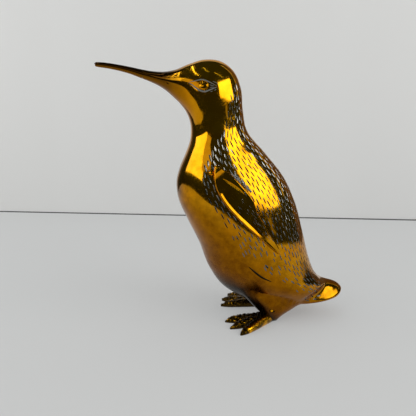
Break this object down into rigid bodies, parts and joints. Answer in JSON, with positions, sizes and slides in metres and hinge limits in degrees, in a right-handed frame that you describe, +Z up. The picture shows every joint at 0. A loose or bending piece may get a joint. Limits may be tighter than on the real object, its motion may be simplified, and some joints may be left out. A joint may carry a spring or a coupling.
{
  "type": "brass penguin sculpture",
  "caption": "Standing brass penguin ornament with a long raised beak, flippers held at its sides, engraved feather strokes and two flat-soled feet to rest on.",
  "frame": {"origin": "on the surface that the bird stands on, under the middle of its outline from the beak's tip to the tail's tip", "axes": "-X is the way that the bird looks, -Y is its left side and +Z is up"},
  "size_m": [0.231, 0.0946, 0.2396],
  "materials": {
    "polished_brass": "polished cast brass with a thin warm patina, and engraved strokes with a dull grey floor",
    "rough_brass": "as cast, with knobbly scales, dark in the hollows and bright on the outer edges",
    "pin_brass": "filed flush and a little darker than the leg"
  },
  "bodies": {
    "root": {"left_body_half": "polished_brass", "right_body_half": "polished_brass", "left_flipper": "polished_brass", "right_flipper": "polished_brass", "left_foot": "rough_brass", "right_foot": "rough_brass", "left_ankle_pin": "pin_brass", "right_ankle_pin": "pin_brass", "beak": "polished_brass"}
  },
  "joints": []
}
